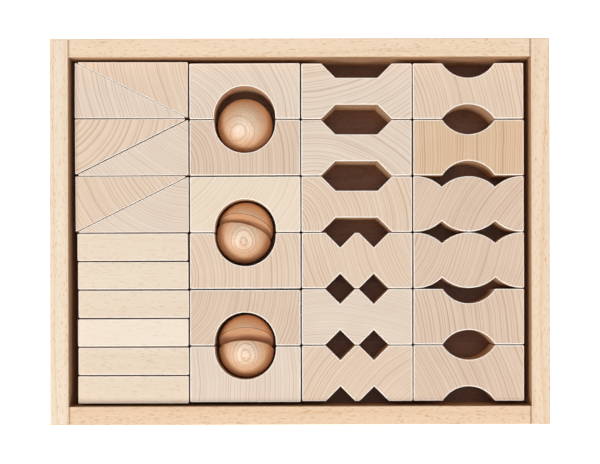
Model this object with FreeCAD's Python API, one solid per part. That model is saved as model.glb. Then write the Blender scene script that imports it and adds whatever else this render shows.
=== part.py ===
import FreeCAD, Part

import math
import os

# Wooden marble-run block set, packed one layer deep in its open beech tray.
# Millimetres. Origin: middle of the tray's underside. +X along the tray, +Y to its back, +Z up.

# Blocks
BLOCK_LENGTH = 78.8      # full block, along X
BLOCK_WIDTH = 39.6       # full block, along Y
BLOCK_HEIGHT = 40.0      # every block as it stands in the tray
COLUMN_GAP = 0.9         # free space between two columns
ROW_GAP = 0.6            # free space between two blocks in a column
TUNNEL_ROW_GAP = 0.8     # the same in the column that holds the balls
WEDGE_ROW_GAP = 1.1      # the same in the column of wedges and planks
PLANK_GAP = 0.5          # between two planks that share a row
WEDGE_LENGTH = 80.4      # long leg of a wedge, before its tip is blunted
WEDGE_GAPS = (0.3, 0.7, 0.5)  # between the two sloping faces of each pair
CORNER_ROUND = 1.0       # upright corners of a block
TIP_ROUND = 0.6          # upright corners of a wedge
EDGE_BREAK = 0.6         # chamfer round a block's top and bottom

# Ways cut into the blocks
TRACK_DEPTH = 10.2       # of the flat-bottomed channel
TRACK_FLOOR = 30.0       # its flat bottom, between flanks at 45 degrees
VEE_WIDTH = 21.0         # mouth of one right-angled groove
VEE_LAND = 3.0           # flat between the two grooves
CURVE_CLEARANCE = 2.1    # curved groove's radius over the ball's
CURVE_DEPTH = 10.3
WAVE_PERIOD = 38.0       # from one hump to the next
WAVE_DEPTH = 7.6         # from a hump's top to the cusp beside it
CUSP_ROUND = 0.6         # left by the cutter's tip in the bottom of a cusp

# Balls
BALL_RADIUS = 19.8
TUNNEL_CLEARANCE = 2.0   # tunnel's radius over the ball's
TUNNEL_SINK = 1.7        # how far the tunnel's centre lies inside each block
LEAN_GAP = 0.7           # air left where a ball leans on the tunnel wall
SEAT_GAP = 0.2           # air left under a ball
HALF_GAP = 0.4           # air left between two halves where they lean together
RIM_BREAK = 0.4          # chamfer round the flat of a half ball

# Tray
WALL = 13.2              # thickness of the four boards
WALL_ABOVE_BLOCKS = 8.0
SLACK_LENGTH = 10.2      # free space round the blocks, both ends together
SLACK_WIDTH = 6.9        # the same from front to back
PILE_SHIFT = (0.8, -0.3)  # the blocks have slid this far from the middle
FLOOR_THICKNESS = 4.0
FLOOR_RAISE = 3.0        # from the boards' lower edges up to the floor panel
GROOVE_DEPTH = 5.0       # in each board, for the panel's edge
PANEL_PLAY = 0.2         # free space round the panel in its grooves
FRAME_ROUND = 1.5        # the tray's upright outer corners
FRAME_BREAK = 0.8        # the boards' long edges
DOWEL_RADIUS = 3.0
DOWEL_PLAY = 0.05
DOWEL_IN_SIDE = 8.0      # how far a dowel goes into a side board
DOWEL_IN_RAIL = 20.0     # how far it goes into a rail
DOWEL_SPREAD = 22.0      # between the two dowels of a corner

COLUMNS = 4
ROWS = 6

# Worked out from the sizes above
TUNNEL_RADIUS = BALL_RADIUS + TUNNEL_CLEARANCE
CURVE_RADIUS = BALL_RADIUS + CURVE_CLEARANCE
PLANK_WIDTH = (BLOCK_WIDTH - PLANK_GAP) / 2
FLOOR_TOP = FLOOR_RAISE + FLOOR_THICKNESS
TRAY_HEIGHT = FLOOR_TOP + BLOCK_HEIGHT + WALL_ABOVE_BLOCKS
INNER_LENGTH = COLUMNS * BLOCK_LENGTH + (COLUMNS - 1) * COLUMN_GAP + SLACK_LENGTH
INNER_WIDTH = ROWS * BLOCK_WIDTH + (ROWS - 1) * ROW_GAP + SLACK_WIDTH
TRAY_LENGTH = INNER_LENGTH + 2 * WALL
TRAY_WIDTH = INNER_WIDTH + 2 * WALL
TOUCH = 1e-4             # slack in looking for an edge by its place
PAST = 1.0               # how far a cutter runs past what it cuts

UP = FreeCAD.Vector(0, 0, 1)
ALONG_X = FreeCAD.Vector(1, 0, 0)
ORIGIN = FreeCAD.Vector(0, 0, 0)


def at(x, y, z=0.0):
    return FreeCAD.Vector(x, y, z)


def centred_box(length, width, height, x=0.0, y=0.0, z=0.0):
    """Box centred on x and y that stands on z."""
    return Part.makeBox(length, width, height, at(x - length / 2, y - width / 2, z))


def prism(corners, height):
    """Upright prism on a polygon given by its corners."""
    points = [at(x, y) for x, y in corners]
    return Part.Face(Part.makePolygon(points + points[:1])).extrude(UP * height)


def upright(x, y, radius, z, height):
    return Part.makeCylinder(radius, height, at(x, y, z), UP)


def turned_about_z(shape, degrees):
    return shape.rotate(ORIGIN, UP, degrees)


# ---- edges ----

def is_upright(edge):
    low, high = edge.BoundBox.ZMin, edge.BoundBox.ZMax
    return high - low > BLOCK_HEIGHT / 2


def sharp_edges(shape, length, width):
    """Upright edges on a block's outside, at its ends and at the mouths of its ways."""
    def outside(edge):
        place = edge.CenterOfMass
        return abs(place.x) > length / 2 - TOUCH or abs(place.y) > width / 2 - TOUCH
    return [e for e in shape.Edges if is_upright(e) and outside(e)]


def end_edges(shape, height):
    """Edges round the top and the bottom face."""
    def level(edge, z):
        return abs(edge.BoundBox.ZMin - z) < TOUCH and abs(edge.BoundBox.ZMax - z) < TOUCH
    return [e for e in shape.Edges if level(e, 0) or level(e, height)]


def end_chamfered(block):
    return block.makeChamfer(EDGE_BREAK, end_edges(block, BLOCK_HEIGHT))


def softened(block, length, width):
    """Upright corners rounded, then the top and bottom edges chamfered."""
    return end_chamfered(block.makeFillet(CORNER_ROUND, sharp_edges(block, length, width)))


# ---- cutters, each for a way in the +Y face of a block centred on the origin ----

FACE = BLOCK_WIDTH / 2


def tunnel_cutter():
    return upright(0, FACE - TUNNEL_SINK, TUNNEL_RADIUS, -PAST, BLOCK_HEIGHT + 2 * PAST)


def curve_cutter():
    middle = FACE + CURVE_RADIUS - CURVE_DEPTH
    return upright(0, middle, CURVE_RADIUS, -PAST, BLOCK_HEIGHT + 2 * PAST)


def track_cutter():
    """Flat bottom, flanks at 45 degrees carried on past the face."""
    half, bottom, top = TRACK_FLOOR / 2, FACE - TRACK_DEPTH, FACE + PAST
    flare = half + top - bottom
    corners = [(-half, bottom), (half, bottom), (flare, top), (-flare, top)]
    return prism(corners, BLOCK_HEIGHT + 2 * PAST).translated(at(0, 0, -PAST))


def vee_cutter():
    """Two right-angled grooves, with a flat land between them."""
    pitch = VEE_WIDTH + VEE_LAND
    half, top = VEE_WIDTH / 2 + PAST, FACE + PAST
    vee = prism([(-half, top), (0, FACE - VEE_WIDTH / 2), (half, top)], BLOCK_HEIGHT + 2 * PAST)
    return vee.translated(at(-pitch / 2, 0, -PAST)).fuse(vee.translated(at(pitch / 2, 0, -PAST)))


def wave_cutter():
    """A strip from the top of one outer hump to the other's, less the round humps that stay."""
    half = WAVE_PERIOD / 2
    radius = (half ** 2 + WAVE_DEPTH ** 2) / (2 * WAVE_DEPTH)
    tall = BLOCK_HEIGHT + 2 * PAST
    strip = Part.makeBox(2 * WAVE_PERIOD, WAVE_DEPTH, tall, at(-WAVE_PERIOD, FACE - WAVE_DEPTH, -PAST))
    for place in (-WAVE_PERIOD, 0, WAVE_PERIOD):
        strip = strip.cut(upright(place, FACE - radius, radius, -2 * PAST, tall + 2 * PAST))
    return strip


# ---- blocks, each centred on the origin and standing on z = 0 ----

def plain_block(length, width):
    return centred_box(length, width, BLOCK_HEIGHT)


def tunnel_block():
    """Half a tunnel in its +Y face."""
    block = plain_block(BLOCK_LENGTH, BLOCK_WIDTH).cut(tunnel_cutter())
    return softened(block, BLOCK_LENGTH, BLOCK_WIDTH)


def cut_both_sides(cutter):
    """The same way in the +Y and the -Y face."""
    block = plain_block(BLOCK_LENGTH, BLOCK_WIDTH).cut(cutter)
    return block.cut(turned_about_z(cutter.copy(), 180))


def two_way_block(cutter):
    return softened(cut_both_sides(cutter), BLOCK_LENGTH, BLOCK_WIDTH)


def wave_block():
    """Humps that run smoothly into the faces, so only its ends and its cusps are rounded."""
    block = cut_both_sides(wave_cutter())
    upright = [e for e in block.Edges if is_upright(e)]
    ends = [e for e in upright if abs(e.CenterOfMass.x) > BLOCK_LENGTH / 2 - TOUCH]
    rounded = block.makeFillet(CORNER_ROUND, ends)
    cusps = [e for e in rounded.Edges if is_upright(e) and
             abs(abs(e.CenterOfMass.x) - WAVE_PERIOD / 2) < TOUCH]
    return end_chamfered(rounded.makeFillet(CUSP_ROUND, cusps))


def plank():
    return softened(plain_block(BLOCK_LENGTH, PLANK_WIDTH), BLOCK_LENGTH, PLANK_WIDTH)


def wedge():
    """Right-angled wedge with its square corner at -X -Y and its slope falling towards +X."""
    x, y = WEDGE_LENGTH / 2, BLOCK_WIDTH / 2
    block = prism([(-x, -y), (x, -y), (-x, y)], BLOCK_HEIGHT)
    return end_chamfered(block.makeFillet(TIP_ROUND, [e for e in block.Edges if is_upright(e)]))


# ---- balls, each centred on the origin ----

def ball():
    return Part.makeSphere(BALL_RADIUS)


def half_ball():
    """Flat face up, at z = 0, with its rim broken."""
    room = 2 * BALL_RADIUS + 2 * PAST
    half = ball().common(centred_box(room, room, room, z=-room))
    rim = [e for e in half.Edges if abs(e.BoundBox.ZMin) < TOUCH and abs(e.BoundBox.ZMax) < TOUCH]
    return half.makeChamfer(RIM_BREAK, rim)


# ---- where things stand ----

def column_x(column):
    return (column - (COLUMNS - 1) / 2) * (BLOCK_LENGTH + COLUMN_GAP) + PILE_SHIFT[0]


def row_y(row, gap=ROW_GAP):
    """Row 0 is the one at the back."""
    return ((ROWS - 1) / 2 - row) * (BLOCK_WIDTH + gap) + PILE_SHIFT[1]


def placed(shape, x, y, turn=0.0):
    """On the tray's floor at x and y, turned about its own upright middle line."""
    return turned_about_z(shape.copy(), turn).translated(at(x, y, FLOOR_TOP))


# Small slips of the loose blocks: along X, along Y, and a turn in degrees.
WEDGE_SLIPS = [(-1.2, 0.0, -0.15), (-1.0, 0.0, 0.15), (-0.8, 0.0, 0.1)]
PLANK_SLIPS = [(-0.5, 0.0, 0.05), (-0.1, 0.0, 0.0), (0.2, 0.0, -0.05),
               (-0.2, 0.0, 0.05), (0.1, 0.0, 0.0), (-0.1, 0.0, -0.05)]
TUNNEL_SLIPS = [(-0.1, -0.1, 0.1), (0.0, 0.0, 0.1), (0.15, -0.1, 0.1),
                (0.1, 0.05, 0.1), (0.0, -0.1, -0.1), (0.0, -0.05, -0.1)]
TRACK_SLIPS = [(0.0, 0.1, -0.1), (-0.15, 0.0, -0.15), (0.0, 0.0, -0.1)]
VEE_SLIPS = [(0.1, 0.0, -0.15), (0.0, 0.0, -0.1), (0.1, 0.0, 0.0)]
CURVE_SLIPS = [(-0.1, 0.1, 0.1), (0.1, 0.0, -0.05), (0.0, 0.0, -0.1), (-0.1, 0.0, -0.15)]
WAVE_SLIPS = [(0.0, 0.0, -0.1), (0.1, 0.0, 0.1)]

# How the balls stand in their tunnels: which way each leans on the wall, how a cut pair is turned,
# and how far its two flats lean from level, all in degrees.
WHOLE_BALL_LEAN = -101
HALF_PAIRS = [
    {"lean": 165, "turn": -15, "back_tilt": 57, "front_tilt": 65},
    {"lean": -82, "turn": 0, "back_tilt": 56, "front_tilt": 68},
]

# Which row each one-off block of the last column stands in
CURVE_ROWS = (0, 1, 4, 5)
WAVE_ROWS = (2, 3)


def wedges():
    """Three pairs. The first pair's slope falls towards +X, the others' rises."""
    made = {}
    shape = wedge()
    slope = math.atan2(BLOCK_WIDTH, WEDGE_LENGTH)
    square_to_slope = at(math.sin(slope), math.cos(slope))
    for number, (gap, (slip_x, slip_y, turn)) in enumerate(zip(WEDGE_GAPS, WEDGE_SLIPS)):
        lower = shape.translated(square_to_slope * (-gap / 2))
        upper = turned_about_z(lower.copy(), 180)
        pair = {"front": lower, "back": upper}
        x, y = column_x(0) + slip_x, row_y(number, WEDGE_ROW_GAP) + slip_y
        for side, half in pair.items():
            if number > 0:
                half = half.mirror(ORIGIN, ALONG_X)
            made[f"wedge_{number + 1}_{side}"] = placed(half, x, y, turn)
    return made


def planks():
    made = {}
    shape = plank()
    pitch = (BLOCK_WIDTH + WEDGE_ROW_GAP) / 2
    first = row_y(ROWS / 2, WEDGE_ROW_GAP) + pitch / 2
    for number, (slip_x, slip_y, turn) in enumerate(PLANK_SLIPS):
        x, y = column_x(0) + slip_x, first - number * pitch + slip_y
        made[f"plank_{number + 1}"] = placed(shape, x, y, turn)
    return made


def tunnel_blocks():
    """Pairs that face each other across a round tunnel."""
    made = {}
    shape = tunnel_block()
    for row, (slip_x, slip_y, turn) in enumerate(TUNNEL_SLIPS):
        facing = 180 if row % 2 == 0 else 0
        x, y = column_x(1) + slip_x, row_y(row, TUNNEL_ROW_GAP) + slip_y
        made[f"tunnel_block_{row + 1}"] = placed(shape, x, y, facing + turn)
    return made


def same_blocks(name, shape, column, rows, slips):
    made = {}
    for number, (row, (slip_x, slip_y, turn)) in enumerate(zip(rows, slips)):
        x, y = column_x(column) + slip_x, row_y(row) + slip_y
        made[f"{name}_{number + 1}"] = placed(shape, x, y, turn)
    return made


# ---- what stands in the tunnels ----

def tunnel_middle(number):
    """Middle of the tunnel between rows 2n and 2n + 1."""
    y = (row_y(2 * number, TUNNEL_ROW_GAP) + row_y(2 * number + 1, TUNNEL_ROW_GAP)) / 2
    return column_x(1), y


def leaning(number, degrees):
    """Centre of a ball that leans on the front half of a tunnel's wall, towards an angle."""
    x, y = tunnel_middle(number)
    reach = TUNNEL_CLEARANCE - LEAN_GAP
    wall_middle = y - TUNNEL_ROW_GAP / 2 - TUNNEL_SINK
    angle = math.radians(degrees)
    return x + reach * math.cos(angle), wall_middle + reach * math.sin(angle)


def half_ball_pair(number, lean, turn, back_tilt, front_tilt):
    """Two halves of a cut ball that lean together.

    The back half lies on its dome. Its flat faces the front and up, and leans back_tilt from
    level. The front half stands on its rim, flat to the back and down, front_tilt from level.
    The two are as close as HALF_GAP allows, measured from the back half's lowest rim point to
    the front half's flat.
    """
    back, front = math.radians(back_tilt), math.radians(front_tilt)
    lift = BALL_RADIUS * (math.sin(back) + math.sin(front) - 1)
    apart = BALL_RADIUS * math.cos(back) + (HALF_GAP - lift * math.cos(front)) / math.sin(front)
    x, y = leaning(number, lean)
    heading = math.radians(90 + turn)
    base = FLOOR_TOP + SEAT_GAP
    front_middle = at(x, y, base + BALL_RADIUS * math.sin(front))
    back_middle = at(x + apart * math.cos(heading), y + apart * math.sin(heading), base + BALL_RADIUS)
    front_half = half_ball().rotate(ORIGIN, ALONG_X, front_tilt - 180)
    back_half = half_ball().rotate(ORIGIN, ALONG_X, back_tilt)
    return {
        f"half_ball_{number}_front": turned_about_z(front_half, turn).translated(front_middle),
        f"half_ball_{number}_back": turned_about_z(back_half, turn).translated(back_middle),
    }


def balls():
    x, y = leaning(0, WHOLE_BALL_LEAN)
    made = {"whole_ball": ball().translated(at(x, y, FLOOR_TOP + SEAT_GAP + BALL_RADIUS))}
    for number, pair in enumerate(HALF_PAIRS, start=1):
        made.update(half_ball_pair(number, **pair))
    return made


# ---- tray ----

def frame_ring():
    """The four boards as one ring, with the edges broken as after glueing up."""
    outer = centred_box(TRAY_LENGTH, TRAY_WIDTH, TRAY_HEIGHT)
    corners = [e for e in outer.Edges if is_upright(e)]
    outer = outer.makeFillet(FRAME_ROUND, corners)
    ring = outer.cut(centred_box(INNER_LENGTH, INNER_WIDTH, TRAY_HEIGHT + 2 * PAST, z=-PAST))
    return ring.makeChamfer(FRAME_BREAK, end_edges(ring, TRAY_HEIGHT))


def panel_slot():
    """The room that the grooves leave for the floor panel."""
    return centred_box(INNER_LENGTH + 2 * GROOVE_DEPTH, INNER_WIDTH + 2 * GROOVE_DEPTH,
                       FLOOR_THICKNESS + PANEL_PLAY, z=FLOOR_RAISE)


def floor_panel():
    reach = 2 * (GROOVE_DEPTH - PANEL_PLAY)
    return centred_box(INNER_LENGTH + reach, INNER_WIDTH + reach, FLOOR_THICKNESS, z=FLOOR_RAISE)


def dowel_places():
    """Inner end of each dowel, and +1 or -1 for the way it points."""
    middle = (FLOOR_TOP + TRAY_HEIGHT) / 2
    for side in (-1, 1):
        for rail in (-1, 1):
            for level in (-1, 1):
                y = rail * (INNER_WIDTH + WALL) / 2
                start = at(side * (INNER_LENGTH / 2 - DOWEL_IN_RAIL), y, middle + level * DOWEL_SPREAD / 2)
                yield start, side


def dowels(radius, play):
    """All the dowels, or with play their holes."""
    pins = []
    for start, side in dowel_places():
        length = DOWEL_IN_RAIL + DOWEL_IN_SIDE + 2 * play
        pins.append(Part.makeCylinder(radius + play, length, start - ALONG_X * side * play, ALONG_X * side))
    return Part.makeCompound(pins)


def tray():
    ring = frame_ring().cut(panel_slot()).cut(dowels(DOWEL_RADIUS, DOWEL_PLAY))
    tall = TRAY_HEIGHT + 2 * PAST
    between = centred_box(INNER_LENGTH, TRAY_WIDTH + 2 * PAST, tall, z=-PAST)
    ends = ring.cut(between).Solids
    rails = ring.common(between).Solids
    left, right = sorted(ends, key=lambda s: s.CenterOfMass.x)
    front, back = sorted(rails, key=lambda s: s.CenterOfMass.y)
    return {
        "tray_side_left": left,
        "tray_side_right": right,
        "tray_rail_front": front,
        "tray_rail_back": back,
        "tray_floor": floor_panel(),
        "corner_dowels": dowels(DOWEL_RADIUS, 0),
    }


def all_parts():
    made = tray()
    made.update(wedges())
    made.update(planks())
    made.update(tunnel_blocks())
    made.update(same_blocks("track_block", two_way_block(track_cutter()), 2, (0, 1, 2), TRACK_SLIPS))
    made.update(same_blocks("vee_block", two_way_block(vee_cutter()), 2, (3, 4, 5), VEE_SLIPS))
    made.update(same_blocks("curve_block", two_way_block(curve_cutter()), 3, CURVE_ROWS, CURVE_SLIPS))
    made.update(same_blocks("wave_block", wave_block(), 3, WAVE_ROWS, WAVE_SLIPS))
    made.update(balls())
    return made


os.makedirs("parts", exist_ok=True)
for name, shape in all_parts().items():
    shape.exportStep(os.path.join("parts", name + ".step"))
    print(name, len(shape.Solids), round(shape.Volume / 1000, 2), "cm3", shape.isValid())
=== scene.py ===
import math

import bpy
import numpy as np
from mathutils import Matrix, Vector


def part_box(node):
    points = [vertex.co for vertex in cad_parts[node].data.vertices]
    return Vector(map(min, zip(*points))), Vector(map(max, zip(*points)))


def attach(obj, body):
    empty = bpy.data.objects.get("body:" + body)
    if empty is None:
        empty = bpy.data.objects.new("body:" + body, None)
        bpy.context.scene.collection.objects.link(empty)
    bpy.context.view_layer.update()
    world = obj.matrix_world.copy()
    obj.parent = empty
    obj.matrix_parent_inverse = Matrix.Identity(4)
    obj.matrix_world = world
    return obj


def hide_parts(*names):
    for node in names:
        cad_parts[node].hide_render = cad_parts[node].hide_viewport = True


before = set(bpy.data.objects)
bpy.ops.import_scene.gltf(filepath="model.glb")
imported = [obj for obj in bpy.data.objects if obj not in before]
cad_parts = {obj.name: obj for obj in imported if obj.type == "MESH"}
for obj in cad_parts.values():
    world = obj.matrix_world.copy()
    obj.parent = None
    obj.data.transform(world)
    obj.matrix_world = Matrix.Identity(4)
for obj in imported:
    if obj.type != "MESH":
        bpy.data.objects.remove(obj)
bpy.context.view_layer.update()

# Wooden marble-run blocks, packed in their open beech tray.
# Sizes here are in millimetres and are turned to metres when a mesh is made.

mm = 0.001


def linear(hexColour):
    # sRGB hex to linear light, by the sRGB curve
    srgb = np.array([int(hexColour[i:i + 2], 16) for i in (1, 3, 5)]) / 255
    curve = np.where(srgb <= 0.04045, srgb / 12.92, ((srgb + 0.055) / 1.055) ** 2.4)
    return (*(float(channel) for channel in curve), 1.0)


def addNode(tree, kind, settings=None, links=None):
    # settings hold the node's own options, its sockets' values or a ramp's stops; links hold socket: source
    node = tree.nodes.new(kind)
    for key, value in (settings or {}).items():
        if key == "stops":
            for stop, (place, colour) in enumerate(value):
                elements = node.color_ramp.elements
                element = elements[stop] if stop < 2 else elements.new(place)
                element.position, element.color = place, colour
        elif isinstance(key, str) and hasattr(node, key):
            setattr(node, key, value)
        else:
            node.inputs[key].default_value = value
    for key, source in (links or {}).items():
        tree.links.new(source, node.inputs[key])
    return node


def nodeBox(name):
    # lowest and highest corner of a CAD node, in millimetres
    low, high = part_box(name)
    return np.array(low) / mm, np.array(high) / mm


def turned(points, axis, degrees):
    # right-handed turn about X, Y or Z: the other two coordinates take the cosine and sine of the angle
    first, second = {"x": (1, 2), "y": (2, 0), "z": (0, 1)}[axis]
    angle = math.radians(degrees)
    result = points.copy()
    result[..., first] = points[..., first] * math.cos(angle) - points[..., second] * math.sin(angle)
    result[..., second] = points[..., first] * math.sin(angle) + points[..., second] * math.cos(angle)
    return result


def placedLike(points, node):
    # moved so that the middle of its box is the middle of the CAD node's box
    low, high = nodeBox(node)
    own = points.reshape(-1, 3)
    return points + (low + high) / 2 - (own.min(0) + own.max(0)) / 2


def roundedCorners(corners, radii, steps=8, support=0.3):
    # each corner becomes an arc that touches both its sides: it starts radius * tan(turn / 2) before the
    # corner and its centre stands one radius to the inner side. A short flat beside each arc keeps the
    # shading flat.
    corners, radii = np.asarray(corners, float), np.asarray(radii, float)
    before = corners - np.roll(corners, 1, axis=0)
    after = np.roll(corners, -1, axis=0) - corners
    before /= np.linalg.norm(before, axis=1, keepdims=True)
    after /= np.linalg.norm(after, axis=1, keepdims=True)
    turn = np.arctan2(before[:, 0] * after[:, 1] - before[:, 1] * after[:, 0], (before * after).sum(1))
    reach = radii * np.tan(np.abs(turn) / 2)
    flat = np.where(radii > 0, support, 0)
    inner = np.stack([-before[:, 1], before[:, 0]], axis=1) * np.sign(turn)[:, None]
    start = corners - before * reach[:, None]
    centre = start + inner * radii[:, None]
    arm = start - centre
    angle = turn[:, None] * np.linspace(0, 1, steps)
    arcs = centre[:, None] + np.stack([
        arm[:, :1] * np.cos(angle) - arm[:, 1:] * np.sin(angle),
        arm[:, :1] * np.sin(angle) + arm[:, 1:] * np.cos(angle)], axis=-1)
    leadIn = corners - before * (reach + flat)[:, None]
    leadOut = corners + after * (reach + flat)[:, None]
    outline = np.concatenate([leadIn[:, None], arcs, leadOut[:, None]], axis=1).reshape(-1, 2)
    apart = np.linalg.norm(outline - np.roll(outline, 1, axis=0), axis=1)
    return outline[apart > 1e-6]


def insetBy(outline, distances):
    # the outline moved inwards along the mitre of its two sides, once for each distance
    side = np.roll(outline, -1, axis=0) - outline
    side /= np.linalg.norm(side, axis=1, keepdims=True)
    inwards = np.stack([-side[:, 1], side[:, 0]], axis=1)
    previous = np.roll(inwards, 1, axis=0)
    mitre = (inwards + previous) / (1 + (inwards * previous).sum(1, keepdims=True))
    return outline + np.asarray(distances)[:, None, None] * mitre


def easedProfile(height, ease, lip, steps=5, support=0.4):
    # inset and level of each ring from the bottom up: a quarter circle eases the lower edge, then the same
    # at the top. The outermost ring on each flat face keeps the painted edge colour (painted highlight on
    # blocks, painted shade on boards and balls) from running over it.
    angle = np.linspace(0, math.pi / 2, steps)
    inset = np.concatenate([[ease + lip], ease * (1 - np.sin(angle)), [0]])
    level = np.concatenate([[0], ease * (1 - np.cos(angle)), [ease + support]])
    paintedEdge = np.concatenate([[0], np.ones(steps), [0]])
    return (np.concatenate([inset, inset[::-1]]), np.concatenate([level, height - level[::-1]]),
            np.concatenate([paintedEdge, paintedEdge[::-1]]))


def carriedUp(outline, height, ease, lip):
    # surface of two parameters: the place along the outline and the step up the eased profile
    inset, level, paintedEdge = easedProfile(height, ease, lip)
    rings = insetBy(outline, inset)
    levels = np.broadcast_to(level[:, None, None], (*rings.shape[:2], 1))
    return np.concatenate([rings, levels], axis=2), paintedEdge


def closedPiece(name, grid, paintedEdge, creaseDegrees=35):
    # rings of points joined by quads, the first and the last ring closed by one flat face; outwards if the
    # rings run anticlockwise round the direction in which they follow each other
    rings, count = grid.shape[:2]
    index = np.arange(rings * count).reshape(rings, count)
    beside = np.roll(index, -1, axis=1)
    sides = np.stack([index[:-1], beside[:-1], beside[1:], index[1:]], axis=-1).reshape(-1, 4)
    mesh = bpy.data.meshes.new(name)
    mesh.from_pydata((grid.reshape(-1, 3) * mm).tolist(), [],
                     [index[0][::-1].tolist(), *sides.tolist(), index[-1].tolist()])
    smooth = np.ones(len(sides) + 2, bool)
    smooth[[0, -1]] = False
    mesh.polygons.foreach_set("use_smooth", smooth)
    mesh.set_sharp_from_angle(angle=math.radians(creaseDegrees))
    # mask of the eased rings, where the material paints a highlight on blocks and a shade line on the tray
    # boards and balls
    paintedEdgeMask = mesh.attributes.new("paintedEdgeLightShade", "FLOAT", "POINT")
    paintedEdgeMask.data.foreach_set("value", np.repeat(paintedEdge, count).astype(np.float32))
    piece = bpy.data.objects.new(name, mesh)
    bpy.context.scene.collection.objects.link(piece)
    return piece


def standsFor(piece, node, body, material):
    # paints the piece, hangs it on its body and lets it take the CAD node's place
    piece.data.materials.append(material)
    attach(piece, body)
    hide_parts(node)


# How each wood looks. Ring, fleck and fibre sizes are in millimetres. A beech fibre is finer than the eye
# can part, so fibres are drawn a few times too coarse.
# The edge colour is painted on eased edges: a painted highlight on the blocks, a darker painted shade on the
# tray boards and the balls' rims.
# The side colour is painted shade: it is mixed into upright faces, the more the steeper they stand.
woods = {
    # Beech end grain, sawn and sanded: growth rings as thin soft lines, no shine, a fine powdery speckle
    "sandedEndGrain": {
        "edge": "#FFF9F0", "side": "#DFB384", "ringContrast": 0.9, "wander": 5,
        "fibreWidth": 0.55, "fibreLength": 9.0, "fibreContrast": 0.16,
        "fleckWidth": 0.45, "fleckLength": 2.0, "fleckContrast": 0.0,
        "roughness": 0.62, "specular": 0.3, "bump": 0.25, "paintedSideShade": 0.8},
    # Beech long grain, planed: nearly even, with short darker ray flecks that run with the grain
    "planedLongGrain": {
        "edge": "#FAF0E4", "side": "#D9A772", "ringContrast": 0.22, "wander": 5,
        "fibreWidth": 0.7, "fibreLength": 18.0, "fibreContrast": 0.4,
        "fleckWidth": 0.6, "fleckLength": 4.0, "fleckContrast": 0.75,
        "roughness": 0.55, "specular": 0.3, "bump": 0.2, "paintedSideShade": 0.7},
    # Beech boards of the tray, planed and lightly sanded: warmer, with brown flecks and slow bands
    "trayBoard": {
        "edge": "#E2C199", "side": "#D29B63", "ringContrast": 0.3, "wander": 5,
        "fibreWidth": 0.55, "fibreLength": 24.0, "fibreContrast": 0.4,
        "fleckWidth": 0.6, "fleckLength": 3.6, "fleckContrast": 0.7,
        "roughness": 0.5, "specular": 0.3, "bump": 0.2, "paintedSideShade": 0.6},
    # Beech ball, turned and fine sanded: close rings show as circles round the crown, with a soft sheen
    "turnedBall": {
        "edge": "#84522D", "side": "#E0964F", "ringContrast": 0.5, "wander": 9,
        "fibreWidth": 0.5, "fibreLength": 9.0, "fibreContrast": 0.3,
        "fleckWidth": 0.5, "fleckLength": 3.0, "fleckContrast": 0.4,
        "roughness": 0.54, "specular": 1.2, "bump": 0.12, "paintedSideShade": 0.75},
}

# What all woods share, sizes in millimetres
growth = {
    "wanderSize": 34, "cloudSize": 22,  # slow noise that bends the rings, and that clouds the tone
    "alongGrain": 0.12,  # how much of that noise's change is left along the grain
    "ringShare": 0.85, "ringUnrest": 1.8,  # ring spacing from the ring width, and how unlike the years are
    "cloudContrast": 0.28, "edgeContrast": 0.85,
    "reliefDepth": 0.06,
}

# turns about X and Y that lay the z axis along the grain
grainTurns = {"x": (0, math.pi / 2), "y": (-math.pi / 2, 0), "z": (0, 0)}


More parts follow.
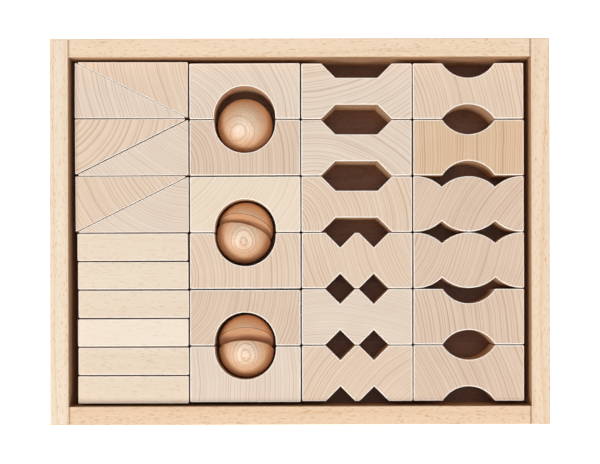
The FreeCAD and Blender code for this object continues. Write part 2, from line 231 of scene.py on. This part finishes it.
def solidWood(name, wood, pith, tone, ringWidth, seed, grain="z", spin=0.0):
    # a block cut from a tree: every point's colour comes from its distance to the pith, so that the end
    # grain shows rings, and the sides show the same rings as long lines. The tone is early wood, late wood.
    look = woods[wood]
    early, late = (linear(colour) for colour in tone)
    material = bpy.data.materials.new(name)
    material.use_nodes = True
    tree = material.node_tree
    tree.nodes.clear()

    # millimetres from the pith, with z along the grain
    place = addNode(tree, "ShaderNodeTexCoord")
    log = addNode(tree, "ShaderNodeMapping",
                  {"vector_type": "TEXTURE", "Location": [value * mm for value in pith],
                   "Rotation": (*grainTurns[grain], math.radians(spin)), "Scale": (mm, mm, mm)},
                  {"Vector": place.outputs["Object"]})
    drawn = addNode(tree, "ShaderNodeVectorMath", {"operation": "MULTIPLY", 1: (1, 1, growth["alongGrain"])},
                    {0: log.outputs["Vector"]})

    # rings: the distance from the pith over the ring width, pushed about by slow noise
    wander = addNode(tree, "ShaderNodeTexNoise",
                     {"noise_dimensions": "4D", "W": seed, "Scale": 1 / growth["wanderSize"], "Detail": 1.5},
                     {"Vector": drawn.outputs["Vector"]})
    push = addNode(tree, "ShaderNodeVectorMath",
                   {"operation": "MULTIPLY_ADD", 1: (1, 1, 0), 2: (-0.5, -0.5, 0)},
                   {0: wander.outputs["Color"]})
    shifted = addNode(tree, "ShaderNodeVectorMath", {"operation": "MULTIPLY_ADD", 1: (look["wander"],) * 3},
                      {0: push.outputs["Vector"], 2: log.outputs["Vector"]})
    across = addNode(tree, "ShaderNodeVectorMath", {"operation": "MULTIPLY", 1: (1, 1, 0)},
                     {0: shifted.outputs["Vector"]})
    radius = addNode(tree, "ShaderNodeVectorMath", {"operation": "LENGTH"}, {0: across.outputs["Vector"]})
    years = addNode(tree, "ShaderNodeMath", {"operation": "DIVIDE", 1: ringWidth * growth["ringShare"]},
                    {0: radius.outputs["Value"]})
    spread = addNode(tree, "ShaderNodeTexNoise", {"noise_dimensions": "1D", "Scale": 0.45, "Detail": 1.0},
                     {"W": years.outputs["Value"]})
    age = addNode(tree, "ShaderNodeMath", {"operation": "MULTIPLY_ADD", 1: growth["ringUnrest"]},
                  {0: spread.outputs["Fac"], 2: years.outputs["Value"]})
    season = addNode(tree, "ShaderNodeMath", {"operation": "FRACT"}, {0: age.outputs["Value"]})
    year = addNode(tree, "ShaderNodeMath", {"operation": "FLOOR"}, {0: age.outputs["Value"]})
    weather = addNode(tree, "ShaderNodeTexWhiteNoise", {"noise_dimensions": "1D"},
                      {"W": year.outputs["Value"]})
    # one year's tone: pale in spring, then darker, to a thin dark line before the next spring
    lateLine = addNode(tree, "ShaderNodeValToRGB", {"stops": [
        (0.0, (0.4, 0.4, 0.4, 1)), (1.0, (0.5, 0.5, 0.5, 1)), (0.12, (0.0, 0.0, 0.0, 1)),
        (0.5, (0.05, 0.05, 0.05, 1)), (0.78, (0.3, 0.3, 0.3, 1)), (0.93, (1, 1, 1, 1))]},
        {"Fac": season.outputs["Value"]})
    # each year's line has a strength of its own, from 0.4 to full
    strong = addNode(tree, "ShaderNodeMath", {"operation": "MULTIPLY_ADD", 1: 0.6, 2: 0.4},
                     {0: weather.outputs["Value"]})
    ringTone = addNode(tree, "ShaderNodeMath", {"operation": "MULTIPLY"},
                       {0: lateLine.outputs["Color"], 1: strong.outputs["Value"]})

    # fibres: noise drawn out along the grain
    fibrePlace = addNode(tree, "ShaderNodeVectorMath",
                         {"operation": "MULTIPLY", 1: (1 / look["fibreWidth"], 1 / look["fibreWidth"],
                                                       1 / look["fibreLength"])},
                         {0: log.outputs["Vector"]})
    fibres = addNode(tree, "ShaderNodeTexNoise", {"Scale": 1.0, "Detail": 3.0, "Roughness": 0.6},
                     {"Vector": fibrePlace.outputs["Vector"]})
    # flecks: the peaks of a second noise, longer than they are high
    fleckPlace = addNode(tree, "ShaderNodeVectorMath",
                         {"operation": "MULTIPLY", 1: (1 / look["fleckWidth"], 1 / look["fleckWidth"],
                                                       1 / look["fleckLength"])},
                         {0: log.outputs["Vector"]})
    fleckNoise = addNode(tree, "ShaderNodeTexNoise",
                         {"noise_dimensions": "4D", "W": seed + 3.0, "Scale": 1.0, "Detail": 1.0},
                         {"Vector": fleckPlace.outputs["Vector"]})
    flecks = addNode(tree, "ShaderNodeMapRange", {"From Min": 0.58, "From Max": 0.72},
                     {"Value": fleckNoise.outputs["Fac"]})
    # slow changes of tone over some centimetres
    clouds = addNode(tree, "ShaderNodeTexNoise",
                     {"noise_dimensions": "4D", "W": seed + 7.0, "Scale": 1 / growth["cloudSize"],
                      "Detail": 2.0},
                     {"Vector": drawn.outputs["Vector"]})

    # how far each point goes from the early wood's colour to the late wood's
    depth = addNode(tree, "ShaderNodeMath", {"operation": "MULTIPLY", 1: look["ringContrast"]},
                    {0: ringTone.outputs["Value"]})
    withFibres = addNode(tree, "ShaderNodeMath", {"operation": "MULTIPLY_ADD", 1: look["fibreContrast"]},
                         {0: fibres.outputs["Fac"], 2: depth.outputs["Value"]})
    withFlecks = addNode(tree, "ShaderNodeMath", {"operation": "MULTIPLY_ADD", 1: look["fleckContrast"]},
                         {0: flecks.outputs["Result"], 2: withFibres.outputs["Value"]})
    withClouds = addNode(tree, "ShaderNodeMath",
                         {"operation": "MULTIPLY_ADD", 1: growth["cloudContrast"], "use_clamp": True},
                         {0: clouds.outputs["Fac"], 2: withFlecks.outputs["Value"]})
    grainColour = addNode(tree, "ShaderNodeMix", {"data_type": "RGBA", 6: early, 7: late},
                          {0: withClouds.outputs["Value"]})
    # upright faces are painted browner than the tops: a painted shade that stands for the warm shade on
    # walls, in holes and on the balls' flanks
    facing = addNode(tree, "ShaderNodeVectorMath", {"operation": "DOT_PRODUCT", 1: (0, 0, 1)},
                     {0: place.outputs["Normal"]})
    square = addNode(tree, "ShaderNodeMath", {"operation": "MULTIPLY"},
                     {0: facing.outputs["Value"], 1: facing.outputs["Value"]})
    sideShadeShare = addNode(tree, "ShaderNodeMath", {"operation": "MULTIPLY_ADD", 1: -look["paintedSideShade"],
                                                  2: look["paintedSideShade"]},
                         {0: square.outputs["Value"]})
    colourWithSideShade = addNode(tree, "ShaderNodeMix", {"data_type": "RGBA", 7: linear(look["side"])},
                         {0: sideShadeShare.outputs["Value"], 6: grainColour.outputs[2]})
    # eased edges take a colour of their own: a painted highlight, lighter, on the blocks, and a painted
    # shade, darker, on the tray boards and on the balls' rims
    paintedEdgeMask = addNode(tree, "ShaderNodeAttribute", {"attribute_name": "paintedEdgeLightShade"})
    paintedEdgeShare = addNode(tree, "ShaderNodeMath", {"operation": "MULTIPLY", 1: growth["edgeContrast"]},
                        {0: paintedEdgeMask.outputs["Fac"]})
    colour = addNode(tree, "ShaderNodeMix", {"data_type": "RGBA", 7: linear(look["edge"])},
                     {0: paintedEdgeShare.outputs["Value"], 6: colourWithSideShade.outputs[2]})

    # darker fibres are a little rougher and lie a little lower
    roughness = addNode(tree, "ShaderNodeMapRange",
                        {"To Min": look["roughness"] - 0.08, "To Max": look["roughness"] + 0.12},
                        {"Value": withFibres.outputs["Value"]})
    relief = addNode(tree, "ShaderNodeBump",
                     {"Strength": look["bump"], "Distance": growth["reliefDepth"] * mm, "invert": True},
                     {"Height": withFlecks.outputs["Value"]})
    wax = addNode(tree, "ShaderNodeBsdfPrincipled", {"IOR": 1.5, "Specular IOR Level": look["specular"]},
                  {"Base Color": colour.outputs[2], "Roughness": roughness.outputs["Result"],
                   "Normal": relief.outputs["Normal"]})
    addNode(tree, "ShaderNodeOutputMaterial", links={"Surface": wax.outputs["BSDF"]})
    return material


# Tones of the single pieces: each is early wood, late wood
tones = {
    "fair": ("#E9DACA", "#C5AA92"),
    "warm": ("#E8D5C1", "#C3A083"),
    "tan": ("#E3CEBA", "#BB997F"),
    "orange": ("#E3C8A9", "#BA906D"),
    "cream": ("#ECDECC", "#D7BEA1"),
    "pale": ("#F1E5D6", "#E0CBB2"),
    "turned": ("#FAE8CC", "#AE6C38"),
    "dowel": ("#F0DDC8", "#DDBE9C"),
    # the floor panel's tone is painted shade: dark brown for the shade deep in the tray's holes
    "panelPaintedShade": ("#7C4513", "#522A08"),
}


def aroundBlock(node, pith):
    # the pith stands that far from the middle of the block
    low, high = nodeBox(node)
    middle = (low + high) / 2
    return (middle[0] + pith[0], middle[1] + pith[1], middle[2])


block = {"ease": 0.55, "lip": 0.35, "cornerRound": 1.0}


def blockSize(node, turn):
    # length and width before a small turn: a turned block's box is length * cos(turn) + width * sin(turn)
    # long, and the other way round wide, less what its rounded corners take off
    low, high = nodeBox(node)
    span = high - low
    sine, cosine = abs(math.sin(math.radians(turn))), abs(math.cos(math.radians(turn)))
    corner = block["cornerRound"] * (1 - cosine - sine)
    length = (span[0] * cosine - span[1] * sine) / (cosine ** 2 - sine ** 2) + corner
    width = (span[1] * cosine - span[0] * sine) / (cosine ** 2 - sine ** 2) + corner
    return length, width


def makeBlock(node, outline, turn, material, edges=block):
    # the outline carried up the block, its edges eased, then turned and put in its place
    low, high = nodeBox(node)
    grid, paintedEdge = carriedUp(outline, high[2] - low[2], edges["ease"], edges["lip"])
    piece = closedPiece(node + "_wood", placedLike(turned(grid, "z", turn), node), paintedEdge)
    standsFor(piece, node, node, material)


def endGrainWood(node, look, seed):
    # a block whose end grain is up, so that its rings show
    return solidWood("sanded beech end grain " + node, "sandedEndGrain", aroundBlock(node, look["pith"]),
                     tones[look["tone"]], ringWidth=look["rings"], seed=seed)


def fourSided(length, width, cornerRound):
    # half the length and half the width to either side, each corner rounded
    corners = np.array([(1, 1), (-1, 1), (-1, -1), (1, -1)]) * (length / 2, width / 2)
    return roundedCorners(corners, np.full(4, cornerRound))


def twoSided(way):
    # the way in the +Y face, and the same turned half round for the -Y face
    return np.concatenate([way, -way])


# Pairs of wedges, rings steep or slanting over a slope that falls or rises
wedge = {
    "length": 80.4, "width": 39.6, "tipRound": 0.6, "tipFlat": 0.2, "ease": 0.35, "lip": 0.15,
    "pieces": {
        "wedge_1_front": {"turn": -0.15, "mirrored": False, "pith": (150, 40), "rings": 2.7, "tone": "fair"},
        "wedge_1_back": {"turn": -0.15, "mirrored": False, "pith": (150, 40), "rings": 2.7, "tone": "warm"},
        "wedge_2_front": {"turn": 0.15, "mirrored": True, "pith": (60, 60), "rings": 1.8, "tone": "fair"},
        "wedge_2_back": {"turn": 0.15, "mirrored": True, "pith": (-62, 36), "rings": 5.2, "tone": "warm"},
        "wedge_3_front": {"turn": 0.1, "mirrored": True, "pith": (42, 68), "rings": 1.9, "tone": "fair"},
        "wedge_3_back": {"turn": 0.1, "mirrored": True, "pith": (120, 90), "rings": 3.4, "tone": "warm"},
    }}


def wedgeOutline(back, mirrored):
    # right angle at -X -Y; the back one is the same turned half round, and a mirrored pair is flipped in X
    x, y = wedge["length"] / 2, wedge["width"] / 2
    corners = np.array([(-x, -y), (x, -y), (-x, y)]) * (-1 if back else 1)
    if mirrored:
        corners = (corners * (-1, 1))[::-1]
    return roundedCorners(corners, np.full(3, wedge["tipRound"]), steps=10, support=wedge["tipFlat"])


for number, (node, look) in enumerate(wedge["pieces"].items()):
    outline = wedgeOutline(node.endswith("back"), look["mirrored"])
    material = endGrainWood(node, look, seed=number // 2 * 1.7)
    makeBlock(node, outline, look["turn"], material, edges=wedge)
print("wedges made")

# Half-width planks, long grain up; depth is where the pith lies from the top face
plank = {
    "ringWidth": 3.4, "pithSpread": 4,
    "pieces": {
        "plank_1": {"turn": 0.05, "depth": -46, "tone": "cream"},
        "plank_2": {"turn": 0.0, "depth": -60, "tone": "cream"},
        "plank_3": {"turn": -0.05, "depth": -52, "tone": "cream"},
        "plank_4": {"turn": 0.05, "depth": -70, "tone": "pale"},
        "plank_5": {"turn": 0.0, "depth": -40, "tone": "cream"},
        "plank_6": {"turn": -0.05, "depth": -58, "tone": "cream"},
    }}

for number, (node, look) in enumerate(plank["pieces"].items()):
    low, high = nodeBox(node)
    length, width = blockSize(node, look["turn"])
    sideways = plank["pithSpread"] * (number % 3 - 1)
    pith = (low[0], (low[1] + high[1]) / 2 + sideways, high[2] + look["depth"])
    material = solidWood("planed beech " + node, "planedLongGrain", pith, tones[look["tone"]], grain="x",
                         ringWidth=plank["ringWidth"], seed=number * 2.3)
    makeBlock(node, fourSided(length, width, block["cornerRound"]), look["turn"], material)
print("planks made")

# Blocks that hold half a round tunnel
tunnel = {
    "radius": 21.8, "sink": 1.7, "arcSteps": 46,
    "pieces": {
        "tunnel_block_1": {"turn": 180.1, "pith": (-52, -26), "rings": 2.8, "tone": "fair"},
        "tunnel_block_2": {"turn": 0.1, "pith": (-60, -14), "rings": 3.0, "tone": "tan"},
        "tunnel_block_3": {"turn": 180.1, "pith": (-80, 60), "rings": 2.4, "tone": "cream"},
        "tunnel_block_4": {"turn": 0.1, "pith": (-72, -12), "rings": 3.1, "tone": "warm"},
        "tunnel_block_5": {"turn": 179.9, "pith": (-72, 26), "rings": 2.6, "tone": "tan"},
        "tunnel_block_6": {"turn": -0.1, "pith": (-260, -10), "rings": 2.3, "tone": "fair"},
    }}


def tunnelOutline(length, width):
    # the +Y face is cut by a circle whose centre lies a little inside it
    x, y = length / 2, width / 2
    opening = math.asin(tunnel["sink"] / tunnel["radius"])
    angle = np.linspace(opening, -math.pi - opening, tunnel["arcSteps"])
    arc = np.stack([np.cos(angle), np.sin(angle)], axis=1) * tunnel["radius"] + (0, y - tunnel["sink"])
    points = np.concatenate([[(x, y)], arc, [(-x, y), (-x, -y), (x, -y)]])
    radii = np.zeros(len(points))
    radii[[0, 1, -4, -3, -2, -1]] = block["cornerRound"]  # all but the points inside the arc
    return roundedCorners(points, radii)


for number, (node, look) in enumerate(tunnel["pieces"].items()):
    outline = tunnelOutline(*blockSize(node, look["turn"]))
    makeBlock(node, outline, look["turn"], endGrainWood(node, look, seed=10 + number * 1.3))
print("tunnel blocks made")

# Blocks with the same way cut into both long faces: flat-bottomed, two vees, one curve, or humps
track = {"depth": 10.2, "floor": 30.0}
vee = {"width": 21.0, "land": 3.0}
curve = {"radius": 21.9, "depth": 10.3, "arcSteps": 34}
wave = {"period": 38.0, "depth": 7.6, "cuspRound": 0.6, "step": 1.9}


def trackWay(width):
    # a flat floor between two flanks at 45 degrees
    half, y = track["floor"] / 2, width / 2
    way = [(half + track["depth"], y), (half, y - track["depth"]), (-half, y - track["depth"]),
           (-half - track["depth"], y)]
    return np.array(way), np.array([1, 0, 0, 1]) * block["cornerRound"]


def veeWay(width):
    # two right-angled grooves with a flat land between them
    half, land, y = vee["width"] / 2, vee["land"] / 2, width / 2
    way = [(land + 2 * half, y), (land + half, y - half), (land, y), (-land, y), (-land - half, y - half),
           (-land - 2 * half, y)]
    return np.array(way), np.array([1, 0, 1, 1, 0, 1]) * block["cornerRound"]


def curveWay(width):
    # part of a circle whose centre lies outside the face
    middle = width / 2 + curve["radius"] - curve["depth"]
    opening = math.acos((curve["radius"] - curve["depth"]) / curve["radius"])
    angle = -math.pi / 2 + np.linspace(opening, -opening, curve["arcSteps"])
    way = np.stack([np.cos(angle), np.sin(angle)], axis=1) * curve["radius"] + (0, middle)
    radii = np.zeros(len(way))
    radii[[0, -1]] = block["cornerRound"]
    return way, radii


def waveWay(width):
    # circles side by side: a point's height is that of the circle of the nearest hump; the cusps between two
    # humps lie the wave's depth lower
    half = wave["period"] / 2
    radius = (half ** 2 + wave["depth"] ** 2) / (2 * wave["depth"])
    x = np.linspace(1, -1, 1 + 2 * round(wave["period"] / wave["step"])) * wave["period"]
    fromHump = x - wave["period"] * np.round(x / wave["period"])
    y = width / 2 - radius + np.sqrt(radius ** 2 - fromHump ** 2)
    cusps = np.isclose(np.abs(x), half)
    return np.stack([x, y], axis=1), np.where(cusps, wave["cuspRound"], 0.0)


def wayOutline(way, radii, length, width):
    # closes a way in the +Y face, given from +X to -X, to a whole block with the same way in the -Y face
    points = np.concatenate([[(length / 2, width / 2)], way, [(-length / 2, width / 2)]])
    radii = np.concatenate([[block["cornerRound"]], radii, [block["cornerRound"]]])
    return roundedCorners(twoSided(points), np.tile(radii, 2))


wayBlocks = {
    "track_block_1": {"way": trackWay, "turn": -0.1, "pith": (-38, 100), "rings": 3.4, "tone": "fair"},
    "track_block_2": {"way": trackWay, "turn": -0.15, "pith": (-33, -78), "rings": 3.3, "tone": "fair"},
    "track_block_3": {"way": trackWay, "turn": -0.1, "pith": (-52, -18), "rings": 3.0, "tone": "warm"},
    "vee_block_1": {"way": veeWay, "turn": -0.15, "pith": (110, 40), "rings": 2.2, "tone": "warm"},
    "vee_block_2": {"way": veeWay, "turn": -0.1, "pith": (-20, -160), "rings": 1.5, "tone": "fair"},
    "vee_block_3": {"way": veeWay, "turn": 0.0, "pith": (90, -80), "rings": 2.1, "tone": "warm"},
    "curve_block_1": {"way": curveWay, "turn": 0.1, "pith": (-150, -40), "rings": 3.0, "tone": "warm"},
    "curve_block_2": {"way": curveWay, "turn": -0.05, "pith": (-300, 0), "rings": 2.0, "tone": "orange"},
    "curve_block_3": {"way": curveWay, "turn": -0.1, "pith": (-220, -40), "rings": 3.2, "tone": "tan"},
    "curve_block_4": {"way": curveWay, "turn": -0.15, "pith": (-160, -70), "rings": 2.5, "tone": "tan"},
    "wave_block_1": {"way": waveWay, "turn": -0.1, "pith": (160, -100), "rings": 2.1, "tone": "tan"},
    "wave_block_2": {"way": waveWay, "turn": 0.1, "pith": (-110, 40), "rings": 2.6, "tone": "tan"},
}

for number, (node, look) in enumerate(wayBlocks.items()):
    length, width = blockSize(node, look["turn"])
    outline = wayOutline(*look["way"](width), length, width)
    makeBlock(node, outline, look["turn"], endGrainWood(node, look, seed=20 + number * 1.9))
print("track, vee, curve and wave blocks made")


ball = {
    "rimBreak": 0.4, "flatRing": 0.5, "poleAngle": 0.012, "around": 112, "along": 52, "rimSteps": 5,
    "ringWidth": 1.5,
    "whole": {"pith": (0, 57, -76), "spin": -40},
    # how far each half's flat leans from level, how the pair is turned, and where the pith stands
    "halves": {
        "half_ball_1_back": {"tilt": 57, "turn": -15, "pith": (10, 30, -70)},
        "half_ball_1_front": {"tilt": 65 - 180, "turn": -15, "pith": (0, 12, -90)},
        "half_ball_2_back": {"tilt": 56, "turn": 0, "pith": (10, 30, -70)},
        "half_ball_2_front": {"tilt": 68 - 180, "turn": 0, "pith": (0, 12, -90)},
    }}


def revolved(radii, levels):
    # surface of two parameters: a profile of radius and level carried round the upright axis
    angle = np.linspace(0, 2 * math.pi, ball["around"], endpoint=False)
    around = np.stack([np.cos(angle), np.sin(angle)], axis=1)
    rings = radii[:, None, None] * around
    return np.concatenate([rings, np.broadcast_to(levels[:, None, None], (*rings.shape[:2], 1))], axis=2)


def wholeBall(radius):
    # radius times the sine and minus the cosine of the angle from the lower pole
    angle = np.linspace(ball["poleAngle"], math.pi - ball["poleAngle"], 2 * ball["along"])
    return revolved(radius * np.sin(angle), -radius * np.cos(angle)), np.zeros(len(angle))


def halfBall(radius):
    # the lower half of the same, then a rounded rim and a ring on the flat
    rim, rimSteps = ball["rimBreak"], ball["rimSteps"]
    angle = np.linspace(ball["poleAngle"], math.pi / 2 - rim / radius, ball["along"])
    bend = np.linspace(0, math.pi / 2, rimSteps + 1)[1:]
    radii = np.concatenate([radius * np.sin(angle), radius - rim * (1 - np.cos(bend)),
                            [radius - rim - ball["flatRing"]]])
    levels = np.concatenate([-radius * np.cos(angle), -rim * (1 - np.sin(bend)), [0]])
    # the rim's rings carry the painted edge colour, a dark painted shade line on the balls
    paintedEdge = np.concatenate([np.zeros(len(angle)), np.ones(rimSteps), [0]])
    return revolved(radii, levels), paintedEdge


low, high = nodeBox("whole_ball")
ballRadius = (high[0] - low[0]) / 2
grid, paintedEdge = wholeBall(ballRadius)
piece = closedPiece("whole_ball_wood", placedLike(grid, "whole_ball"), paintedEdge)
ballWood = solidWood("turned beech whole_ball", "turnedBall", (low + high) / 2 + ball["whole"]["pith"],
                     tones["turned"], ball["ringWidth"], seed=41.0, grain="x", spin=ball["whole"]["spin"])
standsFor(piece, "whole_ball", "whole_ball", ballWood)

for number, (node, look) in enumerate(ball["halves"].items()):
    grid, paintedEdge = halfBall(ballRadius)
    grid = turned(turned(grid, "x", look["tilt"]), "z", look["turn"])
    piece = closedPiece(node + "_wood", placedLike(grid, node), paintedEdge)
    low, high = nodeBox(node)
    ballWood = solidWood("turned beech " + node, "turnedBall", (low + high) / 2 + look["pith"],
                         tones["turned"], ball["ringWidth"], seed=43.0 + number * 1.1, grain="x")
    standsFor(piece, node, node, ballWood)
print("balls made")


tray = {
    "ease": 0.55, "lip": 0.35, "leastEase": 0.15, "endFlat": 0.4, "endSteps": 5, "ringWidth": 4.2,
    "grooveDepth": 5.0, "grooveLow": 3.0, "grooveHigh": 7.2, "railGrooveEnd": 0.6, "grooveClosed": 0.01,
    "floorPlay": 0.2,
}


def boardSection(thickness, height, cornerRound, groove, steps=6):
    # a board seen on its end: rounded corners, and a groove for the floor panel in the +X side.
    # Runs anticlockwise from the lower outer corner.
    x = thickness / 2
    corners = [(-x, 0), (x, 0), (x, height), (-x, height)]
    rounded = roundedCorners(corners, np.full(4, cornerRound), steps, support=0.35)
    side = np.flatnonzero(np.isclose(rounded[:, 0], x) & (rounded[:, 1] < height / 2))[-1] + 1
    low, high = tray["grooveLow"], tray["grooveHigh"]
    notch = np.array([(x, low), (x - groove, low), (x - groove, high), (x, high)])
    return np.concatenate([rounded[:side], notch, rounded[side:]])


def boardAlong(length, thickness, height, grooveEnd):
    # the section carried along the board. It shrinks as a quarter circle at each end, and its groove opens
    # grooveEnd from the ends
    ease, lip, shut = tray["ease"], tray["lip"], tray["grooveClosed"]
    angle = np.linspace(0, math.pi / 2, tray["endSteps"])
    inset = np.concatenate([[ease + lip], ease * (1 - np.sin(angle)), [0, 0, 0]])
    start = np.concatenate([[0], ease * (1 - np.cos(angle)),
                            [ease + tray["endFlat"], grooveEnd, grooveEnd + shut]])
    groove = np.concatenate([np.full(len(inset) - 1, shut), [tray["grooveDepth"]]])
    paintedEdge = np.concatenate([[0], np.ones(tray["endSteps"]), [0, 0, 0]])
    stations = []
    for share, depth in zip(inset, groove):
        corner = max(ease - share * 0.5, tray["leastEase"])
        section = boardSection(thickness - 2 * share, height - 2 * share, corner, depth)
        stations.append(section + (0, share))
    sections = np.stack([*stations, *stations[::-1]])
    along = np.concatenate([start, length - start[::-1]]) - length / 2
    return sections, along, np.concatenate([paintedEdge, paintedEdge[::-1]])


boards = {
    # grain, where the pith stands from the board's middle, and the tone: early wood, late wood
    "tray_side_left": {"grain": "y", "pith": (-30, 0, -75), "tone": ("#F4E8D8", "#DAB88F")},
    "tray_side_right": {"grain": "y", "pith": (26, 0, -60), "tone": ("#F6E5D1", "#D6AF84")},
    "tray_rail_front": {"grain": "x", "pith": (0, 24, -66), "tone": ("#F2DCC0", "#D0A274")},
    "tray_rail_back": {"grain": "x", "pith": (0, -20, -80), "tone": ("#F7E6D1", "#D8B187")},
}


def makeBoard(node, look, grooveEnd):
    # the section carried along the board's grain, with its groove towards the tray's middle
    low, high = nodeBox(node)
    span, middle = high - low, (low + high) / 2
    lengthAxis = 0 if look["grain"] == "x" else 1
    sections, along, paintedEdge = boardAlong(span[lengthAxis], span[1 - lengthAxis], span[2], grooveEnd)
    inwards = -np.sign(middle[1 - lengthAxis])
    stationCount, count = sections.shape[:2]
    grid = np.empty((stationCount, count, 3))
    grid[..., 1 - lengthAxis] = sections[..., 0] * inwards
    grid[..., lengthAxis] = along[:, None]
    grid[..., 2] = sections[..., 1]
    # the rings have to run anticlockwise round the way they follow each other
    handed = inwards * (1 if lengthAxis == 1 else -1)
    if handed > 0:
        grid, paintedEdge = grid[::-1], paintedEdge[::-1]
    seed = 60 + middle[0] * 0.01 + middle[1] * 0.02  # a figure of its own for each board
    material = solidWood("planed beech " + node, "trayBoard", middle + look["pith"], look["tone"],
                         tray["ringWidth"], seed, grain=look["grain"])
    piece = closedPiece(node + "_wood", placedLike(grid, node), paintedEdge)
    standsFor(piece, node, "tray", material)


# the side boards' grooves end a little past the floor panel, the rails' run out at their ends
sideLow, sideHigh = nodeBox("tray_side_left")
floorLow, floorHigh = nodeBox("tray_floor")
sideGrooveEnd = (sideHigh[1] - sideLow[1]) / 2 - (floorHigh[1] - floorLow[1]) / 2 - tray["floorPlay"]
for node, look in boards.items():
    makeBoard(node, look, tray["railGrooveEnd"] if look["grain"] == "x" else sideGrooveEnd)
print("tray boards made")

# Floor panel: birch plywood, rotary cut, so its face shows broad soft waves along X. Its dark brown colour
# is painted shade for the deep shade in the tray's holes, not the plywood's own colour.
floorPanel = {"ease": 0.3, "lip": 0.2, "cornerRound": 0.8, "pith": (0, 30, -260), "ringWidth": 0.9}
span = floorHigh - floorLow
outline = fourSided(span[0], span[1], floorPanel["cornerRound"])
grid, paintedEdge = carriedUp(outline, span[2], floorPanel["ease"], floorPanel["lip"])
piece = closedPiece("tray_floor_panel", placedLike(grid, "tray_floor"), paintedEdge)
panelShadeWood = solidWood("birch plywood panel in painted shade", "trayBoard", (floorLow + floorHigh) / 2 + floorPanel["pith"],
                      tones["panelPaintedShade"], floorPanel["ringWidth"], seed=80.0, grain="x")
standsFor(piece, "tray_floor", "tray", panelShadeWood)

# Dowels stay as designed, hidden in the corners
dowel = {"pith": (0, 0, -40), "ringWidth": 2.0}
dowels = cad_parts["corner_dowels"]
dowels.data.materials.clear()
dowels.data.materials.append(solidWood("beech dowel rod", "planedLongGrain", dowel["pith"], tones["dowel"],
                                       dowel["ringWidth"], seed=90.0, grain="x"))
print("floor panel made, dowels painted")


studio = {
    "floorGlow": 0.8, "floorRadius": 6.0, "floorSides": 96, "floorDrop": 0.0006,
    "ambient": 0.09, "backdrop": "#F4F3F1",
    "key": {"at": (-3.0, -2.1, 4.7), "size": 2.8, "watts": 204},
    "fill": {"at": (2.6, -2.4, 4.8), "size": 2.6, "watts": 120},
    "top": {"at": (0.0, 0.3, 5.5), "size": 3.4, "watts": 88},
}


def softLight(name, look, target=(0, 0, 0.04)):
    # a round lamp turned so that its beam runs from its place to the target
    lamp = bpy.data.lights.new(name, "AREA")
    lamp.shape, lamp.size, lamp.energy = "DISK", look["size"], look["watts"]
    light = bpy.data.objects.new(name, lamp)
    light.location = look["at"]
    bpy.context.scene.collection.objects.link(light)
    light.rotation_mode = "QUATERNION"
    light.rotation_quaternion = (Vector(target) - light.location).to_track_quat("-Z", "Y")


softLight("key light", studio["key"])
softLight("fill light", studio["fill"])
softLight("top light", studio["top"])

world = bpy.data.worlds.new("studio air")
bpy.context.scene.world = world
world.use_nodes = True
sky = world.node_tree
sky.nodes.clear()
ray = addNode(sky, "ShaderNodeLightPath")
strength = addNode(sky, "ShaderNodeMapRange", {"To Min": studio["ambient"], "To Max": 1.0},
                   {"Value": ray.outputs["Is Camera Ray"]})
air = addNode(sky, "ShaderNodeBackground", {"Color": linear(studio["backdrop"])},
              {"Strength": strength.outputs["Result"]})
addNode(sky, "ShaderNodeOutputWorld", links={"Surface": air.outputs["Background"]})

# Pale studio floor: a wide disc of matt card with a faint mottle, lit a little from below
floorMesh = bpy.data.meshes.new("studio_floor")
angle = np.linspace(0, 2 * math.pi, studio["floorSides"], endpoint=False)
rim = np.stack([studio["floorRadius"] * np.cos(angle), studio["floorRadius"] * np.sin(angle),
                np.full(len(angle), -studio["floorDrop"])], axis=1)
floorMesh.from_pydata(rim.tolist(), [], [list(range(len(angle)))])
studioFloor = bpy.data.objects.new("studio_floor", floorMesh)
bpy.context.scene.collection.objects.link(studioFloor)
card = bpy.data.materials.new("matt white card")
card.use_nodes = True
cardTree = card.node_tree
cardTree.nodes.clear()
place = addNode(cardTree, "ShaderNodeTexCoord")
mottle = addNode(cardTree, "ShaderNodeTexNoise", {"Scale": 40.0, "Detail": 2.0},
                 {"Vector": place.outputs["Object"]})
tint = addNode(cardTree, "ShaderNodeMix", {"data_type": "RGBA", 6: linear("#F3F2F0"), 7: linear("#FAF9F8")},
               {0: mottle.outputs["Fac"]})
sheet = addNode(cardTree, "ShaderNodeBsdfPrincipled", {"Roughness": 0.9, "Emission Color": linear("#FFFFFF"),
                                                       "Emission Strength": studio["floorGlow"]},
                {"Base Color": tint.outputs[2]})
addNode(cardTree, "ShaderNodeOutputMaterial", links={"Surface": sheet.outputs["BSDF"]})
studioFloor.data.materials.append(card)

# Camera straight above, a little in front of the tray's middle
eye = {"height": 1.297, "forward": -0.045, "viewWidth": 0.4278, "blockTops": 0.047, "roll": 0.15}
lens = bpy.data.cameras.new("camera")
lens.sensor_width = 36.0
lens.lens = lens.sensor_width * (eye["height"] - eye["blockTops"]) / eye["viewWidth"]
lens.shift_y = -eye["forward"] / eye["viewWidth"]
lens.clip_start, lens.clip_end = 0.05, 40.0
camera = bpy.data.objects.new("camera", lens)
camera.location = (0, eye["forward"], eye["height"])
camera.rotation_euler = (0, 0, math.radians(-eye["roll"]))
bpy.context.scene.collection.objects.link(camera)
bpy.context.scene.camera = camera
bpy.context.scene.view_settings.view_transform = "Standard"
print("studio ready")
